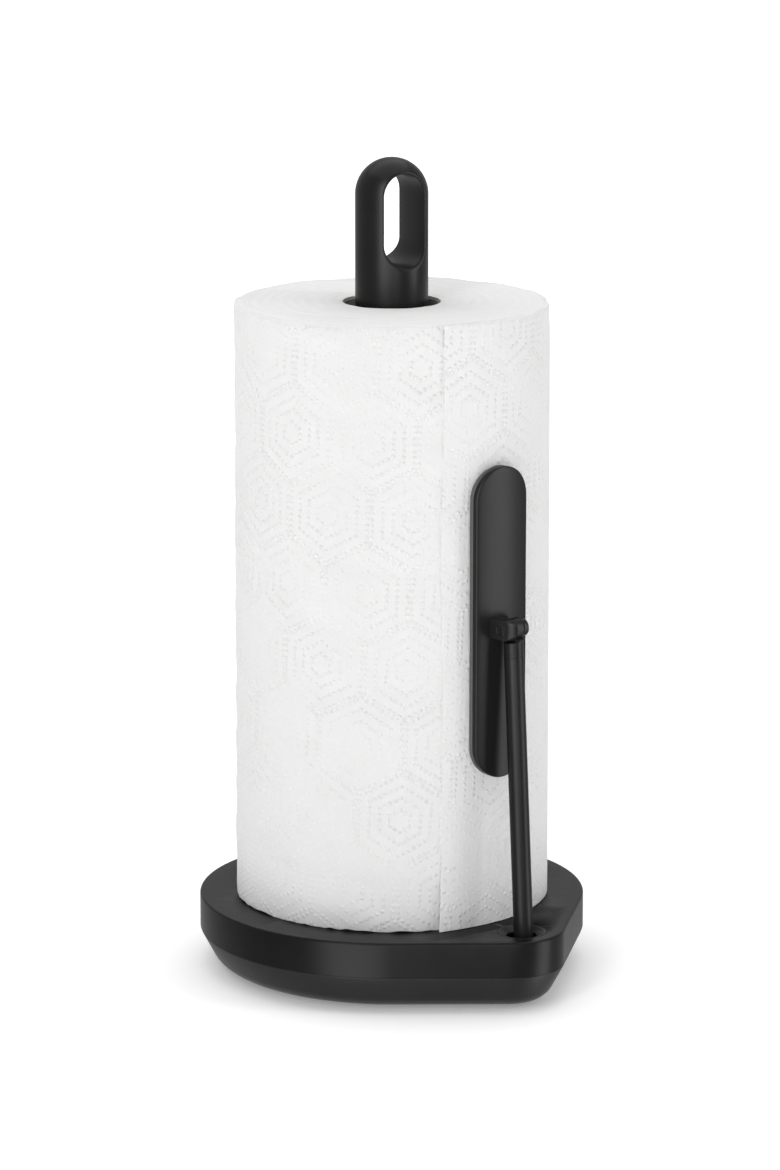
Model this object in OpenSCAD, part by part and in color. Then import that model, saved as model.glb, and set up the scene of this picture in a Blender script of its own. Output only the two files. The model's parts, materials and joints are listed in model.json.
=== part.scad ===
// Standing paper towel holder: a weighted teardrop base, an upright post with a finger slot,
// and a sprung side arm whose pad holds the roll still while a sheet is torn off.
// Millimetres, +Z up. The origin is on the post's axis, on the surface the holder stands on.
// The arm stands on the -Y side, so the YZ plane is the plane of symmetry.

/* [Base] */
// Radius of the round part of the base
base_r = 90; // [86:1:94]
// Radius of the small corner that carries the arm
corner_r = 26.7; // [25:0.1:28]
// Distance from the post's axis to the centre of that corner
corner_y = 81.9; // [80:0.1:83]
// Height of the base from the table to its top face
base_h = 34; // [33:0.5:36]
// Height of the upright band around the base's upper half
band_h = 16.5; // [15.5:0.5:17.5]
// Slope of the base's undercut below the band, from vertical
under_angle = 28; // [25:1:30]
// Thickness of the base's moulded walls
wall = 2.8; // [2.4:0.1:3]

/* [Post] */
// Radius of the post and of the handle on top of it
post_r = 16.75; // [16:0.25:17.5]
// Height of the post and handle above the base's top face
post_h = 345.4; // [340:0.2:350]
// Height above the base's top face at which the handle meets the post tube
handle_joint_h = 265; // [255:1:270]
// Half of the finger slot's width
slot_r = 10.25; // [8.5:0.25:10.5]
// Turn of the finger slot from the arm's direction, in degrees
slot_turn = 12; // [0:1:30]
// Distance between the centres of the finger slot's two round ends
slot_len = 21.8; // [18:0.1:24]

/* [Arm] */
// Radius of the arm's tube
rod_r = 4.5; // [4:0.1:4.7]
// Distance from the post's axis to the arm's axis, level with the base's top face
rod_foot_y = 93.4; // [93:0.1:93.8]
// Distance from the post's axis to the pad's hinge pin
knuckle_y = 85; // [84.8:0.1:85.4]
// Height of the pad's hinge pin above the base's top face
knuckle_h = 140.5; // [138:0.5:143]
// Depth of the arm's pivot below the base's top face
pivot_depth = 10; // [9.5:0.25:10.5]

/* [Pad] */
// Length of the pad, upright
pad_len = 144; // [136:1:150]
// Width of the pad
pad_w = 30; // [27:0.5:32]
// Thickness of the pad, liner and shell together
pad_t = 4.9; // [4.6:0.1:5]
// Distance from the post's axis to the face that rests on the paper
pad_face_y = 73.6; // [73.4:0.1:73.8]
// Height of the pad's centre above the base's top face
pad_mid_h = 142; // [138:0.5:144]

/* [Roll] */
// Height of the paper roll
roll_h = 279.4; // [270:0.1:280]
// Radius of the wound paper at the top of the roll
roll_top_r = 72.2; // [70:0.1:72.4]
// Radius of the wound paper at the bottom of the roll, where it spreads a little
roll_bottom_r = 72.7; // [71:0.1:72.8]
// Outer radius of the roll's cardboard core
core_r = 22.4; // [20:0.1:23]
// Where the last sheet's free edge lies, from +X towards -Y
sheet_edge_angle = 112; // [106:1:118]
// How far round the roll the loose last sheet lies apart from the turn below it
sheet_span = 85; // [60:1:120]

/* [Hidden] */
$fn = 96;
play = 0.05;
eps = 0.01;

// Teardrop outline: the tangents to both circles touch them at this angle from the -Y axis.
tangent_angle = acos((base_r - corner_r) / corner_y);

// Base levels
foot_h = 1.6;
tray_z = 0.8;
seam_z = base_h - band_h;
deck_z = base_h - wall;
under_arc_r = (seam_z - tray_z) * 0.7;
under_flat_z = tray_z + under_arc_r * (1 - sin(under_angle));
under_line = (seam_z - under_flat_z) * tan(under_angle);
foot_r = 71.5;

// Fasteners of the base
screw_r = 1.5;
screw_head_r = 3.2;
screw_angles = [25, 155, 232, 308];
screw_ring_r = 61;
bolt_r = 3;
bolt_head_r = 5;
boss_r = 11;
ballast_r = 55.5;
ballast_z = tray_z + wall + 0.3;
ballast_h = 13;

// Post and handle
flange_r = 24;
flange_h = 3;
post_wall = 2.75;
joint_z = base_h + handle_joint_h;
dome_z = base_h + post_h - post_r;
slot_low_z = dome_z - slot_len;
spigot_h = 16;
insert_h = 16;

// Arm, built upright along its own axis from the pivot and then leaned over to the post
pivot_z = base_h - pivot_depth;
knuckle_z = base_h + knuckle_h;
lean = atan((rod_foot_y - knuckle_y) / knuckle_h);
pivot_y = rod_foot_y + pivot_depth * tan(lean);
arm_len = (knuckle_z - pivot_z) / cos(lean);
hub_r = 6.5;
hub_w = 13;
rod_bore_r = 2.5;
rod_low = -4.5;
collar_top = arm_len - 6.9;
collar_low = arm_len - 13;
tongue_r = 4.9;
tongue_x = [-2, 3];
pin_r = 1.5;
socket_y = 92.2;
socket_r = 6.9;
bezel_r = 11.3;

// Pivot bracket
ear_x = 11;
ear_t = 2;
ear_y = [-98.4, -88.4];
bracket_z = 15.4;
bracket_t = 1.8;
bracket_y = -75;
bracket_screw_x = 8.5;
bracket_screw_y = -79.5;

// Spring: round wire wound about the pivot pin beside the hub
spring_r = 3.4;
wire_r = 0.6;
spring_turns = 2.25;
spring_steps = 16;
spring_sides = 8;

// Pad hardware
liner_t = 2.3;
lug_x = [-7.75, -2.3];
lug_half = 5.5;
lug_corner = 2.6;
cap_x = [3.3, 6.5];
cap_r = 4.2;
clip_r = 2.5;

// Roll
roll_z = base_h + 0.3;
core_t = 0.8;
sheet_gap = 0.1;
sheet_t = 0.4;

// Flat teardrop, set in from the base's outline by inset
module teardrop(inset = 0) {
    big = base_r - inset;
    small = corner_r - inset;
    a = tangent_angle;
    circle(r = big);
    translate([0, -corner_y]) circle(r = small);
    polygon([[big * sin(a), -big * cos(a)],
             [small * sin(a), -corner_y - small * cos(a)],
             [-small * sin(a), -corner_y - small * cos(a)],
             [-big * sin(a), -big * cos(a)]]);
}

// Solid teardrop slab between two heights
module slab(inset, low, high) {
    translate([0, 0, low]) linear_extrude(height = high - low) teardrop(inset);
}

// Points of the undercut's outline, from its top down to the flat underside
function undercut(outer, top) = concat(
    [[0, top], [outer, top], [outer, seam_z]],
    [for (i = [0:6]) let (a = under_angle + (90 - under_angle) * i / 6)
        [outer - under_line - under_arc_r * (cos(under_angle) - cos(a)),
         under_flat_z - under_arc_r * (sin(a) - sin(under_angle))]],
    [[0, tray_z]]);

// Teardrop body whose sides follow the undercut, set in by inset all round
module undercut_body(inset, top) {
    hull() {
        rotate_extrude($fn = 120) polygon(undercut(base_r - inset, top));
        translate([0, -corner_y]) rotate_extrude($fn = 60) polygon(undercut(corner_r - inset, top));
    }
}

// Teardrop slab with flat facets, for the rim that meets the faceted undercut
module rim_slab(inset, low, high) {
    translate([0, 0, low]) hull() {
        cylinder(r = base_r - inset, h = high - low, $fn = 120);
        translate([0, -corner_y]) cylinder(r = corner_r - inset, h = high - low, $fn = 60);
    }
}

// Repeats its children at each of the tray's screws
module at_tray_screws() {
    for (a = screw_angles) rotate(a) translate([screw_ring_r, 0, 0]) children();
}

// Repeats its children at each of the bracket's screws
module at_bracket_screws() {
    for (s = [-1, 1]) translate([s * bracket_screw_x, bracket_screw_y, 0]) children();
}

// Cylinder lying along X between two places
module across(x, r) {
    translate([x[0], 0, 0]) rotate([0, 90, 0]) cylinder(r = r, h = x[1] - x[0]);
}

// Places its children at the arm's pivot, with +Z along the leaning arm
module along_arm() {
    translate([0, -pivot_y, pivot_z]) rotate([-lean, 0, 0]) children();
}

// Places its children on the pad's hinge pin
module at_knuckle() {
    translate([0, -knuckle_y, knuckle_z]) children();
}

// Stadium outline of the pad, drawn in X and Z and carried from y = -far to y = -near
module pad_outline(near, far) {
    mid_z = base_h + pad_mid_h;
    half = (pad_len - pad_w) / 2;
    translate([0, -near, mid_z]) rotate([90, 0, 0]) linear_extrude(height = far - near) {
        square([pad_w, 2 * half], center = true);
        for (s = [-1, 1]) translate([0, s * half]) circle(d = pad_w);
    }
}

// Curved plate of the pad between two radii about the post's axis
module pad_plate(inner, outer) {
    intersection() {
        pad_outline(inner - 4, outer + 2);
        difference() {
            cylinder(r = outer, h = base_h + pad_mid_h + pad_len);
            translate([0, 0, -1]) cylinder(r = inner, h = base_h + pad_mid_h + pad_len + 2);
        }
    }
}

module base_shell() {
    color([0.13, 0.13, 0.13]) {
        difference() {
            union() {
                difference() {
                    slab(0, seam_z, base_h);
                    slab(wall, seam_z - 1, deck_z);
                }
                at_tray_screws() translate([0, 0, 11]) cylinder(r = 4, h = deck_z - 11 + 0.5);
                at_bracket_screws() translate([0, 0, bracket_z + bracket_t])
                    cylinder(r = 3.6, h = deck_z - bracket_z - bracket_t + 0.5);
            }
            translate([0, 0, deck_z - 1]) cylinder(r = post_r + 0.1, h = wall + 2);
            translate([0, -socket_y, deck_z - 1]) cylinder(r = bezel_r, h = wall + 2);
            at_tray_screws() translate([0, 0, 10]) cylinder(r = screw_r + 0.02, h = 15);
            at_bracket_screws() translate([0, 0, bracket_z]) cylinder(r = screw_r + 0.02, h = 11);
        }
    }
}

module under_tray() {
    color([0.11, 0.11, 0.11]) {
        difference() {
            union() {
                difference() {
                    undercut_body(0, seam_z);
                    intersection() {
                        undercut_body(wall, seam_z + 4);
                        translate([-200, -200, tray_z + wall]) cube([400, 400, 60]);
                    }
                }
                difference() {
                    rim_slab(wall + 0.2, seam_z - 3, seam_z + 2.5);
                    rim_slab(wall + 2, seam_z - 4, seam_z + 4);
                }
                at_tray_screws() translate([0, 0, tray_z]) cylinder(r = 5, h = 11 - tray_z - 0.1);
                translate([0, 0, tray_z]) cylinder(r = boss_r, h = 27);
            }
            at_tray_screws() {
                cylinder(r = screw_r + 0.3, h = 20);
                cylinder(r = screw_head_r + 0.3, h = 5);
            }
            cylinder(r = bolt_r + 0.2, h = 40);
            cylinder(r = 8, h = 9);
            cylinder(r = foot_r + 0.1, h = foot_h + 0.05);
        }
    }
}

module ballast_plate() {
    color([0.42, 0.42, 0.43]) translate([0, 0, ballast_z]) difference() {
        cylinder(r = ballast_r, h = ballast_h);
        translate([0, 0, -1]) cylinder(r = boss_r + 0.4, h = ballast_h + 2);
    }
}

module foot_pad() {
    color([0.07, 0.07, 0.07]) cylinder(r = foot_r, h = foot_h);
}

module tray_screws() {
    color([0.6, 0.6, 0.62]) at_tray_screws() {
        difference() {
            translate([0, 0, 2.6]) cylinder(r = screw_head_r, h = 2.4);
            translate([0, 0, 2]) cylinder(r = 1.4, h = 1.8, $fn = 6);
        }
        translate([0, 0, 5 - eps]) cylinder(r = screw_r, h = 16);
    }
}

module post_tube() {
    color([0.13, 0.13, 0.13]) difference() {
        union() {
            translate([0, 0, deck_z - flange_h - 0.1]) cylinder(r = flange_r, h = flange_h);
            translate([0, 0, deck_z - flange_h - 0.1])
                cylinder(r = post_r, h = joint_z - deck_z + flange_h + 0.1);
        }
        translate([0, 0, deck_z + 1]) cylinder(r = post_r - post_wall, h = joint_z);
        translate([0, 0, deck_z - 10]) cylinder(r = bolt_r + 0.2, h = 20);
    }
}

module post_insert() {
    color([0.75, 0.6, 0.3]) translate([0, 0, deck_z + 1]) difference() {
        cylinder(r = post_r - post_wall - play, h = insert_h);
        translate([0, 0, -1]) cylinder(r = bolt_r + 0.02, h = insert_h + 2);
    }
}

module post_bolt() {
    color([0.6, 0.6, 0.62]) {
        difference() {
            translate([0, 0, 3.2]) cylinder(r = bolt_head_r, h = 4.6);
            translate([0, 0, 3]) cylinder(r = 2.5, h = 2.6, $fn = 6);
        }
        translate([0, 0, 7.8 - eps]) cylinder(r = bolt_r, h = 36);
    }
}

module post_washer() {
    color([0.65, 0.65, 0.67]) translate([0, 0, 7.8]) difference() {
        cylinder(r = 7, h = 1.15);
        translate([0, 0, -1]) cylinder(r = bolt_r + 0.1, h = 4);
    }
}

module handle() {
    color([0.13, 0.13, 0.13]) difference() {
        union() {
            translate([0, 0, joint_z]) cylinder(r = post_r, h = dome_z - joint_z);
            translate([0, 0, dome_z]) sphere(r = post_r);
            translate([0, 0, joint_z - spigot_h]) cylinder(r = post_r - post_wall - play, h = 20);
        }
        translate([0, 0, joint_z - spigot_h - 1]) cylinder(r = 11, h = spigot_h + 22);
        rotate([0, 0, -slot_turn]) {
            for (z = [slot_low_z, dome_z])
                translate([0, 20, z]) rotate([90, 0, 0]) cylinder(r = slot_r, h = 40);
            translate([-slot_r, -20, slot_low_z]) cube([2 * slot_r, 40, slot_len]);
        }
    }
}

module socket_bezel() {
    color([0.1, 0.1, 0.1]) translate([0, -socket_y, deck_z]) rotate_extrude()
        polygon([[socket_r, 0.2], [bezel_r - play, 0], [bezel_r - play, wall],
                 [bezel_r - 0.9, wall], [socket_r, 0.9]]);
}

module pivot_bracket() {
    color([0.55, 0.56, 0.58]) difference() {
        union() {
            translate([-ear_x - ear_t, ear_y[0], bracket_z])
                cube([2 * (ear_x + ear_t), bracket_y - ear_y[0], bracket_t]);
            for (x = [-ear_x - ear_t, ear_x])
                translate([x, ear_y[0], bracket_z]) cube([ear_t, ear_y[1] - ear_y[0], 13]);
        }
        translate([0, -pivot_y, pivot_z]) across([-20, 20], pin_r + 0.02);
        at_bracket_screws() translate([0, 0, 10]) cylinder(r = screw_r + 0.2, h = 10);
    }
}

module bracket_screws() {
    color([0.6, 0.6, 0.62]) at_bracket_screws() {
        difference() {
            translate([0, 0, bracket_z - 1.6]) cylinder(r = 2.8, h = 1.6);
            translate([0, 0, bracket_z - 2]) cylinder(r = 1.2, h = 1.3, $fn = 6);
        }
        translate([0, 0, bracket_z - eps]) cylinder(r = screw_r, h = 10);
    }
}

module pivot_pin() {
    color([0.7, 0.7, 0.72]) translate([0, -pivot_y, pivot_z])
        across([-ear_x - ear_t - 1.4, ear_x + ear_t + 1.4], pin_r);
}

module pin_rings() {
    color([0.35, 0.35, 0.36]) for (x = [-ear_x - ear_t - 0.8, ear_x + ear_t + 0.1])
        translate([0, -pivot_y, pivot_z]) difference() {
            across([x, x + 0.7], 2.9);
            across([x - 1, x + 2], pin_r + 0.02);
        }
}

// A point on the spring wire's centre line, t turns along it
function coil_point(t) = [hub_w / 2 + 0.75 + 1.3 * t, spring_r * cos(360 * t), spring_r * sin(360 * t)];

module torsion_spring() {
    rings = spring_turns * spring_steps;
    points = [for (i = [0:rings]) let (t = i / spring_steps, c = coil_point(t))
        for (k = [0:spring_sides - 1]) let (a = 360 * k / spring_sides)
            c + [wire_r * sin(a), wire_r * cos(a) * cos(360 * t), wire_r * cos(a) * sin(360 * t)]];
    sides = [for (i = [0:rings - 1]) for (k = [0:spring_sides - 1])
        let (a = i * spring_sides, n = (k + 1) % spring_sides)
            [a + k, a + n, a + n + spring_sides, a + k + spring_sides]];
    ends = [[for (k = [spring_sides - 1:-1:0]) k],
            [for (k = [0:spring_sides - 1]) rings * spring_sides + k]];
    color([0.7, 0.7, 0.72]) translate([0, -pivot_y, pivot_z])
        polyhedron(points = points, faces = concat(sides, ends));
}

module arm_hub() {
    color([0.1, 0.1, 0.1]) along_arm() difference() {
        across([-hub_w / 2, hub_w / 2], hub_r);
        across([-hub_w, hub_w], pin_r + play);
        translate([0, 0, rod_low - 0.1]) cylinder(r = rod_r + 0.02, h = 20);
    }
}

module arm_rod() {
    color([0.12, 0.12, 0.12]) along_arm() difference() {
        translate([0, 0, rod_low]) cylinder(r = rod_r, h = collar_low - rod_low);
        translate([0, 0, 4]) cylinder(r = rod_bore_r, h = arm_len);
        across([-hub_w, hub_w], pin_r + play);
    }
}

module arm_head() {
    neck_w = tongue_x[1] - tongue_x[0];
    color([0.12, 0.12, 0.12]) along_arm() difference() {
        union() {
            translate([0, 0, collar_low]) cylinder(r = rod_r, h = collar_top - collar_low);
            translate([0, 0, collar_low - 12]) cylinder(r = rod_bore_r - 0.02, h = 13);
            translate([tongue_x[0], -3.2, collar_top - 1]) cube([neck_w, 6.4, arm_len - collar_top + 1]);
            translate([0, 0, arm_len]) across(tongue_x, tongue_r);
        }
        translate([0, 0, arm_len]) across([-20, 20], pin_r + play);
    }
}

// Side view of the hinge lug, round at its two outer corners
module lug_outline() {
    near = pad_face_y + liner_t + 0.8;
    far = knuckle_y + lug_half - 0.5;
    inner_half = lug_half - lug_corner;
    translate([-lug_half, lug_corner - far]) square([2 * lug_half, far - lug_corner - near]);
    translate([-inner_half, -far]) square([2 * inner_half, lug_corner + 1]);
    for (s = [-1, 1]) translate([s * inner_half, lug_corner - far]) circle(r = lug_corner);
}

module pad_shell() {
    color([0.14, 0.14, 0.14]) difference() {
        union() {
            pad_plate(pad_face_y + liner_t, pad_face_y + pad_t);
            translate([lug_x[0], 0, knuckle_z]) rotate([0, 90, 0])
                linear_extrude(height = lug_x[1] - lug_x[0]) lug_outline();
        }
        at_knuckle() across([-20, 20], pin_r + 0.02);
        at_knuckle() across([lug_x[0] - 1, lug_x[0] + 1.2], clip_r + 0.1);
    }
}

module pad_liner() {
    color([0.2, 0.2, 0.2]) pad_plate(pad_face_y, pad_face_y + liner_t - 0.02);
}

module hinge_pin() {
    color([0.15, 0.15, 0.15]) at_knuckle() {
        across([lug_x[0] + 0.3, cap_x[0] + 0.5], pin_r);
        across(cap_x, cap_r);
    }
}

module pin_clip() {
    color([0.35, 0.35, 0.36]) at_knuckle() difference() {
        across([lug_x[0] + 0.5, lug_x[0] + 1.18], clip_r);
        across([lug_x[0], lug_x[0] + 3], pin_r + 0.02);
    }
}

module cardboard_core() {
    color([0.72, 0.62, 0.5]) translate([0, 0, roll_z]) difference() {
        cylinder(r = core_r, h = roll_h);
        translate([0, 0, -1]) cylinder(r = core_r - core_t, h = roll_h + 2);
    }
}

module paper_roll() {
    color([0.95, 0.95, 0.95]) translate([0, 0, roll_z]) difference() {
        cylinder(r1 = roll_bottom_r, r2 = roll_top_r, h = roll_h);
        translate([0, 0, -1]) cylinder(r = core_r + play, h = roll_h + 2);
    }
}

module loose_sheet() {
    in_low = roll_bottom_r + sheet_gap;
    in_top = roll_top_r + sheet_gap;
    color([0.97, 0.97, 0.97]) translate([0, 0, roll_z]) rotate(-sheet_edge_angle)
        rotate_extrude(angle = sheet_span)
            polygon([[in_low, 0], [in_low + sheet_t, 0], [in_top + sheet_t, roll_h], [in_top, roll_h]]);
}

base_shell();
under_tray();
ballast_plate();
foot_pad();
tray_screws();
post_tube();
post_insert();
post_bolt();
post_washer();
handle();
socket_bezel();
pivot_bracket();
bracket_screws();
pivot_pin();
pin_rings();
torsion_spring();
arm_hub();
arm_rod();
arm_head();
pad_shell();
pad_liner();
hinge_pin();
pin_clip();
cardboard_core();
paper_roll();
loose_sheet();
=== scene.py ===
"""Paper towel holder: the visible pieces, their finishes and a plain studio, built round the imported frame.

Lengths are worked out in millimetres and turned into metres as each mesh is made.
The arm stands on the -Y side, the post's axis is Z, and the holder stands on z = 0.
"""

import json
import math

import bmesh
import bpy
import numpy as np
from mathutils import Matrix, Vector
from mathutils.geometry import delaunay_2d_cdt

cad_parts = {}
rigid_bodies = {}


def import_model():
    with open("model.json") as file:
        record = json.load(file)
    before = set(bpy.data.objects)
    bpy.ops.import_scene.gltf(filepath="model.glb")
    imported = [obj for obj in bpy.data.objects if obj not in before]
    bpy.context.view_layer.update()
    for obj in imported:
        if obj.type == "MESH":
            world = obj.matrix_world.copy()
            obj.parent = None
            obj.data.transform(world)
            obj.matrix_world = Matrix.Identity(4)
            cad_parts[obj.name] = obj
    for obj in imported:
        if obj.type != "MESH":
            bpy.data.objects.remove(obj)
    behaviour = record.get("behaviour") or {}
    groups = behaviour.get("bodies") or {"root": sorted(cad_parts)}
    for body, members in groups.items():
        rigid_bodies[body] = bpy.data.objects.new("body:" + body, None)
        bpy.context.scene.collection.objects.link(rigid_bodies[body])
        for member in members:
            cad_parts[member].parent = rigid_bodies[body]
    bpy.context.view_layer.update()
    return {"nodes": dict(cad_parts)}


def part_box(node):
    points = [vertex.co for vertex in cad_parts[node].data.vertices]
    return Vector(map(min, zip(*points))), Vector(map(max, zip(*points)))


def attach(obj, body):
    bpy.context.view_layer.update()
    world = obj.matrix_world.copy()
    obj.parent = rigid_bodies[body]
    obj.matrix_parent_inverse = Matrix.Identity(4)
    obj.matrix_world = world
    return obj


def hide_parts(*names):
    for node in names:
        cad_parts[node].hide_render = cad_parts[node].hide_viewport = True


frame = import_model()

bl_info = {
    "name": "Paper towel holder",
    "version": (1, 0, 0),
    "blender": (4, 5, 0),
    "location": "3D View > Sidebar > Towel holder",
    "description": "Builds the visible pieces of a standing paper towel holder round its packed frame",
    "category": "Object",
}

MM = 0.001
TURN = 2 * math.pi


def corners(node):
    """Lowest and highest corner of a CAD node, in millimetres."""
    low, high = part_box(node)
    return np.array(low) / MM, np.array(high) / MM


SHELL_LOW, SHELL_HIGH = corners("base_shell")
POST_LOW, POST_HIGH = corners("post_tube")
HANDLE_LOW, HANDLE_HIGH = corners("handle")
BEZEL_LOW, BEZEL_HIGH = corners("socket_bezel")
ROD_HIGH = corners("arm_rod")[1]
HUB_LOW, HUB_HIGH = corners("arm_hub")
PIN_LOW, PIN_HIGH = corners("hinge_pin")
PAD_LOW, PAD_HIGH = corners("pad_shell")
LINER_LOW, LINER_HIGH = corners("pad_liner")
FOOT_HIGH = corners("foot_pad")[1]
CORE_LOW, CORE_HIGH = corners("cardboard_core")
ROLL_LOW, ROLL_HIGH = corners("paper_roll")
POST_R = HANDLE_HIGH[0]
SOCKET_Y = (BEZEL_LOW[1] + BEZEL_HIGH[1]) / 2
PIVOT = np.array([0, (HUB_LOW[1] + HUB_HIGH[1]) / 2, (HUB_LOW[2] + HUB_HIGH[2]) / 2])
KNUCKLE = np.array([0, (PIN_LOW[1] + PIN_HIGH[1]) / 2, (PIN_LOW[2] + PIN_HIGH[2]) / 2])
REACH = np.linalg.norm(KNUCKLE - PIVOT)
COLLAR = 13  # how far below the knuckle the arm's head takes over from its tube
SLOT_ARC, SLOT_SIDE = 48, 18  # points on each round end and each side of the finger slot
RIM = 1.6  # rounding of the roll's top rim
ROLL_START = math.radians(-70)  # where the roll's and the core's unrolled maps begin, from +X


# ---------------------------------------------------------------- sizes and colours


def length(name, description, default):
    """A length property, kept in metres and given in millimetres."""
    return bpy.props.FloatProperty(
        name=name, description=description, default=default * MM, min=0, unit="LENGTH", precision=5
    )


def colour(name, description, default):
    """A linear colour property."""
    return bpy.props.FloatVectorProperty(
        name=name, description=description, default=default, size=3, min=0, max=1, subtype="COLOR"
    )


class HolderSizes(bpy.types.PropertyGroup):
    """Sizes that finish the holder's own pieces."""

    corner_radius: length("Corner radius", "Radius of the base's small corner", 26.7)
    band_height: length("Band height", "Height of the upright band round the base", 16.5)
    base_edge: length("Base edge", "Rounding of the base's top edge", 1.0)
    undercut_radius: length("Undercut radius", "Radius of the curve at the foot of the undercut", 11.7)
    wall: length("Wall", "Thickness of the base's moulded walls", 2.8)
    slot_radius: length("Slot radius", "Half of the finger slot's width", 10.25)
    slot_length: length("Slot length", "Distance between the finger slot's round ends", 21.8)
    slot_fillet: length("Slot fillet", "Rounding of the finger slot's rim", 1.7)
    slot_crown: length("Slot crown", "How far the finger slot's wall swells at its middle", 0.8)
    pad_edge: length("Pad edge", "Rounding of the pad's outer rim", 0.8)
    lug_corner: length("Lug corner", "Rounding of the hinge lug's outer corners", 2.6)
    undercut_angle: bpy.props.FloatProperty(
        name="Undercut angle", description="Slope of the undercut, from vertical",
        default=math.radians(28), subtype="ANGLE"
    )
    slot_turn: bpy.props.FloatProperty(
        name="Slot turn", description="Turn of the finger slot from the arm's direction",
        default=math.radians(12), subtype="ANGLE"
    )


class PaperSizes(bpy.types.PropertyGroup):
    """Sizes of the paper roll and its embossing."""

    cell: length("Cell", "Width of one embossed hexagon", 40)
    ring_pitch: length("Ring pitch", "Distance between the rings of dots in a hexagon", 4.8)
    dot: length("Dot", "Radius of an embossed dot", 0.95)
    dot_depth: length("Dot depth", "Height of an embossed dot", 0.4)
    sheet_lift: length("Sheet lift", "How far the last sheet's free edge stands off the roll", 0.3)
    sheet_flare: length("Sheet flare", "How far the last sheet's bottom corner curls out", 3.0)
    edge_angle: bpy.props.FloatProperty(
        name="Edge angle", description="Where the last sheet's free edge lies, from +X",
        default=math.radians(-112), subtype="ANGLE"
    )
    sheet_span: bpy.props.FloatProperty(
        name="Sheet span", description="How far round the roll the last sheet lies loose",
        default=math.radians(85), subtype="ANGLE"
    )


class HolderColours(bpy.types.PropertyGroup):
    """Colours of the finishes."""

    black: colour("Black", "Moulded plastic", (0.0045, 0.0045, 0.0044))
    # Painted light: the tray is the base's own plastic, made a shade lighter here to stand in for the floor's
    # light on the undercut.
    tray: colour("Tray", "Under tray, a shade lighter", (0.008, 0.008, 0.0078))
    paint: colour("Paint", "Arm, socket bezel, hinge pin and foot pad", (0.0036, 0.0036, 0.0036))
    rubber: colour("Rubber", "Pad liner", (0.02, 0.02, 0.02))
    paper: colour("Paper", "Towel paper", (0.79, 0.79, 0.788))
    card: colour("Card", "Core of the roll", (0.17, 0.145, 0.12))
    floor: colour("Floor", "Floor of the studio", (0.93, 0.93, 0.93))


# ---------------------------------------------------------------- surfaces


def grid_faces(rows, columns, wrap):
    """Quads of a grid of rows by columns points, joined back to the first row if it wraps."""
    i = np.arange(rows if wrap else rows - 1)[:, None]
    j = np.arange(columns - 1)[None, :]
    n = (i + 1) % rows
    quads = np.stack([i * columns + j, n * columns + j, n * columns + j + 1, i * columns + j + 1], -1)
    return quads.reshape(-1, 4)


def make_piece(name, patches, sharp=35.0, uv=None):
    """One object out of patches, each either (points[u, v, 3], wraps in u) or (points[n, 3], faces).

    Patches that share an edge are welded there, poles are closed, and faces are turned outwards.
    uv names a function of the points that gives each its place on the piece's own UV map.
    """
    points, faces, start = [], [], 0
    for shape, how in patches:
        shape = np.asarray(shape, float)
        made = grid_faces(shape.shape[0], shape.shape[1], how) if shape.ndim == 3 else np.asarray(how)
        faces += (made + start).tolist()
        points.append(shape.reshape(-1, 3))
        start += len(points[-1])
    mesh = bpy.data.meshes.new(name)
    mesh.from_pydata(np.concatenate(points) * MM, [], faces)
    work = bmesh.new()
    work.from_mesh(mesh)
    bmesh.ops.remove_doubles(work, verts=work.verts, dist=0.002 * MM)
    bmesh.ops.dissolve_degenerate(work, edges=work.edges, dist=0.0005 * MM)
    bmesh.ops.recalc_face_normals(work, faces=work.faces)
    work.to_mesh(mesh)
    work.free()
    mesh.shade_smooth()
    mesh.set_sharp_from_angle(angle=math.radians(sharp))
    if uv is not None:
        put_uv(mesh, uv)
    piece = bpy.data.objects.new(name, mesh)
    bpy.context.scene.collection.objects.link(piece)
    return piece


def put_uv(mesh, place):
    """Writes a UV map from place(points in mm, face centre of each corner in mm)."""
    co = np.empty(len(mesh.vertices) * 3)
    mesh.vertices.foreach_get("co", co)
    corner = np.empty(len(mesh.loops), np.int32)
    mesh.loops.foreach_get("vertex_index", corner)
    centre = np.empty(len(mesh.polygons) * 3)
    mesh.polygons.foreach_get("center", centre)
    count = np.empty(len(mesh.polygons), np.int32)
    mesh.polygons.foreach_get("loop_total", count)
    here = co.reshape(-1, 3)[corner] / MM
    middle = np.repeat(centre.reshape(-1, 3), count, axis=0) / MM
    layer = mesh.uv_layers.new(name="Unrolled")
    layer.data.foreach_set("uv", place(here, middle).astype(np.float32).ravel())


def settle(piece, body, slot, material, *nodes):
    """Gives a finished piece its material and its body, and hides the CAD nodes it stands for. The slot is
    not used.
    """
    piece.data.materials.clear()
    piece.data.materials.append(material)
    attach(piece, body)
    if nodes:
        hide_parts(*nodes)
    return piece


def rounded(points, radii, steps=6):
    """An open outline with its corners rounded: each corner gives way to an arc of its radius.

    The arc's centre lies on the corner's bisector, and it touches both sides at radius / tan(half angle).
    """
    p = np.asarray(points, float)
    out = [p[:1]]
    for before, at, after, r in zip(p[:-2], p[1:-1], p[2:], radii):
        if r == 0:
            out.append(at[None])
            continue
        a = (before - at) / np.linalg.norm(before - at)
        b = (after - at) / np.linalg.norm(after - at)
        half = math.acos(np.clip(a @ b, -1, 1)) / 2
        bisector = (a + b) / np.linalg.norm(a + b)
        centre = at + bisector * r / math.sin(half)
        start, end = at + a * r / math.tan(half) - centre, at + b * r / math.tan(half) - centre
        t = np.linspace(0, 1, steps + 1)[:, None]
        sweep = math.pi - 2 * half
        arc = (start * np.sin((1 - t) * sweep) + end * np.sin(t * sweep)) / math.sin(sweep)
        out.append(centre + arc)
    out.append(p[-1:])
    return np.concatenate(out)


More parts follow.
